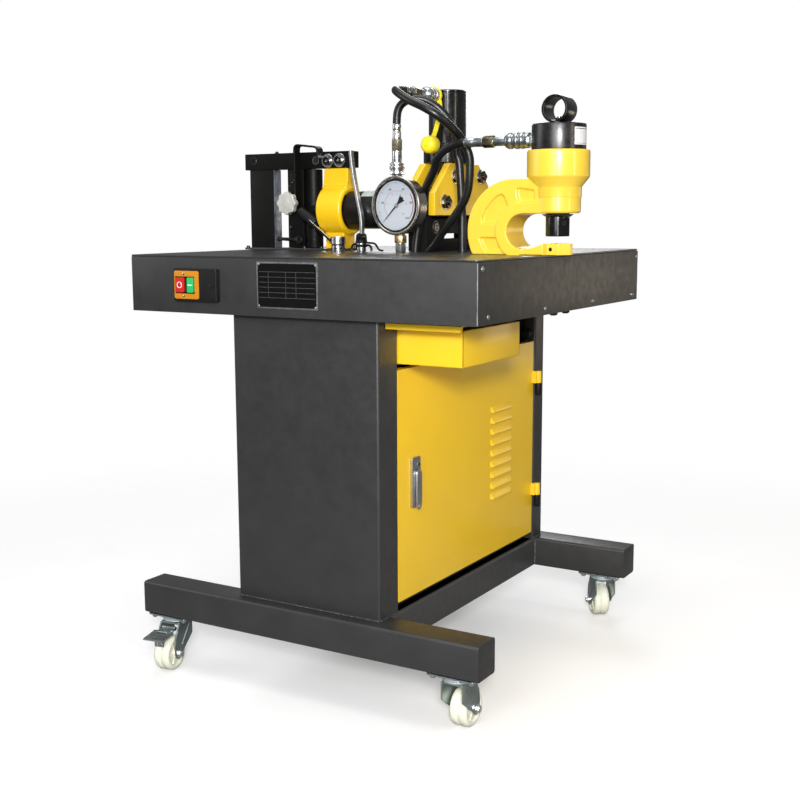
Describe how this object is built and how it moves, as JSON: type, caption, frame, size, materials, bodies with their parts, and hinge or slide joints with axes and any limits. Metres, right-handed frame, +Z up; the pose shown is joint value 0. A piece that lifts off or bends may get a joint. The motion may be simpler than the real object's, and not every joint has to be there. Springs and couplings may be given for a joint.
{
  "type": "busbar processing machine",
  "caption": "Wheeled cabinet with a flat work table carrying a hydraulic bender, cutter and C-frame hole punch, with a pressure gauge, hoses, a side door, a chip drawer and swivel casters.",
  "frame": {"origin": "on the floor, in the middle of the machine's footprint box, measured without the hoses", "axes": "+Z up; +X towards the door, the drawer and the punch; -Y towards the long face with the switch"},
  "size_m": [0.7687, 0.7841, 1.0716],
  "materials": {
    "grey_paint": "semi-gloss hammer paint",
    "yellow_paint": "gloss paint",
    "black_paint": "gloss paint",
    "zinc": "zinc plated",
    "steel": "satin",
    "nylon": "smooth cream nylon",
    "black_plastic": "matt moulded",
    "red_plastic": "gloss",
    "green_plastic": "gloss",
    "hose_rubber": "smooth",
    "yellow_plastic": "smooth"
  },
  "bodies": {
    "machine": {"base_frame": "grey_paint", "cabinet_front_panel": "grey_paint", "cabinet_rear_panel": "grey_paint", "cabinet_left_panel": "grey_paint", "table_top": "grey_paint", "table_apron": "grey_paint", "apron_side_cover": "grey_paint", "switch_box": "black_plastic", "nameplate": "steel", "oil_tank": "grey_paint", "pump_motor": "black_paint", "punch_frame": "yellow_paint", "punch_die": "steel", "punch_cylinder": "black_paint", "carry_ring": "black_paint", "punch_coupler": "zinc", "cutter_frame": "black_paint", "cutter_plate_right": "yellow_paint", "cutter_plate_left": "yellow_paint", "cutter_cylinder": "black_paint", "cutter_coupler": "zinc", "cutter_dust_cap": "yellow_plastic", "bender_post": "black_paint", "bender_top_bar": "black_paint", "bender_body": "yellow_paint", "bender_cylinder": "black_paint", "gauge_case": "steel", "gauge_coupler": "zinc", "valve_body": "black_paint", "table_coupler": "zinc", "hose_gauge": "hose_rubber", "hose_cutter": "hose_rubber", "hose_punch": "hose_rubber", "caster_plate_front_left": "zinc", "caster_plate_front_right": "zinc", "caster_plate_rear_right": "zinc", "caster_plate_rear_left": "zinc"},
    "stop_button": {"stop_button": "red_plastic"},
    "start_button": {"start_button": "green_plastic"},
    "door": {"door_panel": "yellow_paint", "lock_plate": "steel"},
    "lock_handle": {"lock_handle": "steel"},
    "drawer": {"drawer_tray": "yellow_paint"},
    "punch_ram": {"punch_ram": "black_paint"},
    "cutter_blade": {"cutter_blade": "steel"},
    "bender_slide": {"bender_ram": "black_paint", "strap_handle": "black_paint"},
    "star_knob": {"star_knob": "zinc"},
    "gauge_needle": {"gauge_needle": "black_plastic"},
    "valve_lever": {"valve_lever": "steel"},
    "brake_pedal": {"brake_pedal_front_left": "zinc"},
    "swivel_front_left": {"caster_fork_front_left": "zinc"},
    "wheel_front_left": {"caster_wheel_front_left": "nylon"},
    "swivel_front_right": {"caster_fork_front_right": "zinc"},
    "wheel_front_right": {"caster_wheel_front_right": "nylon"},
    "swivel_rear_right": {"caster_fork_rear_right": "zinc"},
    "wheel_rear_right": {"caster_wheel_rear_right": "nylon"},
    "swivel_rear_left": {"caster_fork_rear_left": "zinc"},
    "wheel_rear_left": {"caster_wheel_rear_left": "nylon"}
  },
  "joints": [
    {"name": "stop_press", "type": "slide", "parent": "machine", "child": "stop_button", "axis": [0, 1, 0], "range_m": [0, 0.003], "stiffness_N_per_m": 600},
    {"name": "start_press", "type": "slide", "parent": "machine", "child": "start_button", "axis": [0, 1, 0], "range_m": [0, 0.003], "stiffness_N_per_m": 600},
    {"name": "door_hinge", "type": "hinge", "parent": "machine", "child": "door", "pos_m": [0.1405, 0.29925, 0.376], "axis": [0, 0, 1], "range_deg": [0, 110]},
    {"name": "lock_turn", "type": "hinge", "parent": "door", "child": "lock_handle", "pos_m": [0.1345, -0.19025, 0.392], "axis": [1, 0, 0], "range_deg": [0, 90]},
    {"name": "drawer_slide", "type": "slide", "parent": "machine", "child": "drawer", "axis": [1, 0, 0], "range_m": [0, 0.15]},
    {"name": "punch_stroke", "type": "slide", "parent": "machine", "child": "punch_ram", "axis": [0, 0, -1], "range_m": [0, 0.011]},
    {"name": "cut_stroke", "type": "slide", "parent": "machine", "child": "cutter_blade", "axis": [0, 0, -1], "range_m": [0, 0.0135]},
    {"name": "bend_stroke", "type": "slide", "parent": "machine", "child": "bender_slide", "axis": [-1, 0, 0], "range_m": [0, 0.03]},
    {"name": "star_knob_turn", "type": "hinge", "parent": "bender_slide", "child": "star_knob", "pos_m": [-0.2595, -0.00575, 0.8565], "axis": [0, 1, 0], "continuous": true},
    {"name": "needle_turn", "type": "hinge", "parent": "machine", "child": "gauge_needle", "pos_m": [0.0045, -0.02575, 0.85], "axis": [0.0872, 0.9962, 0], "range_deg": [0, 270]},
    {"name": "valve_turn", "type": "hinge", "parent": "machine", "child": "valve_lever", "pos_m": [-0.0865, -0.01575, 0.7935], "axis": [0, 1, 0], "range_deg": [-12, 12]},
    {"name": "swivel_turn_front_left", "type": "hinge", "parent": "machine", "child": "swivel_front_left", "pos_m": [-0.3195, -0.30475, 0.09], "axis": [0, 0, 1], "continuous": true},
    {"name": "wheel_spin_front_left", "type": "hinge", "parent": "swivel_front_left", "child": "wheel_front_left", "pos_m": [-0.31512, -0.33241, 0.032], "axis": [0.9877, 0.1564, 0], "continuous": true},
    {"name": "brake_press", "type": "hinge", "parent": "swivel_front_left", "child": "brake_pedal", "pos_m": [-0.31543, -0.33043, 0.077], "axis": [0.9877, 0.1564, 0], "range_deg": [0, 7]},
    {"name": "swivel_turn_front_right", "type": "hinge", "parent": "machine", "child": "swivel_front_right", "pos_m": [0.2775, -0.30475, 0.09], "axis": [0, 0, 1], "continuous": true},
    {"name": "wheel_spin_front_right", "type": "hinge", "parent": "swivel_front_right", "child": "wheel_front_right", "pos_m": [0.2775, -0.27675, 0.032], "axis": [-1, 0, 0], "continuous": true},
    {"name": "swivel_turn_rear_right", "type": "hinge", "parent": "machine", "child": "swivel_rear_right", "pos_m": [0.2745, 0.33925, 0.09], "axis": [0, 0, 1], "continuous": true},
    {"name": "wheel_spin_rear_right", "type": "hinge", "parent": "swivel_rear_right", "child": "wheel_rear_right", "pos_m": [0.25726, 0.36131, 0.032], "axis": [-0.788, -0.6157, 0], "continuous": true},
    {"name": "swivel_turn_rear_left", "type": "hinge", "parent": "machine", "child": "swivel_rear_left", "pos_m": [-0.3245, 0.33925, 0.09], "axis": [0, 0, 1], "continuous": true},
    {"name": "wheel_spin_rear_left", "type": "hinge", "parent": "swivel_rear_left", "child": "wheel_rear_left", "pos_m": [-0.35081, 0.32967, 0.032], "axis": [0.342, -0.9397, 0], "continuous": true}
  ]
}
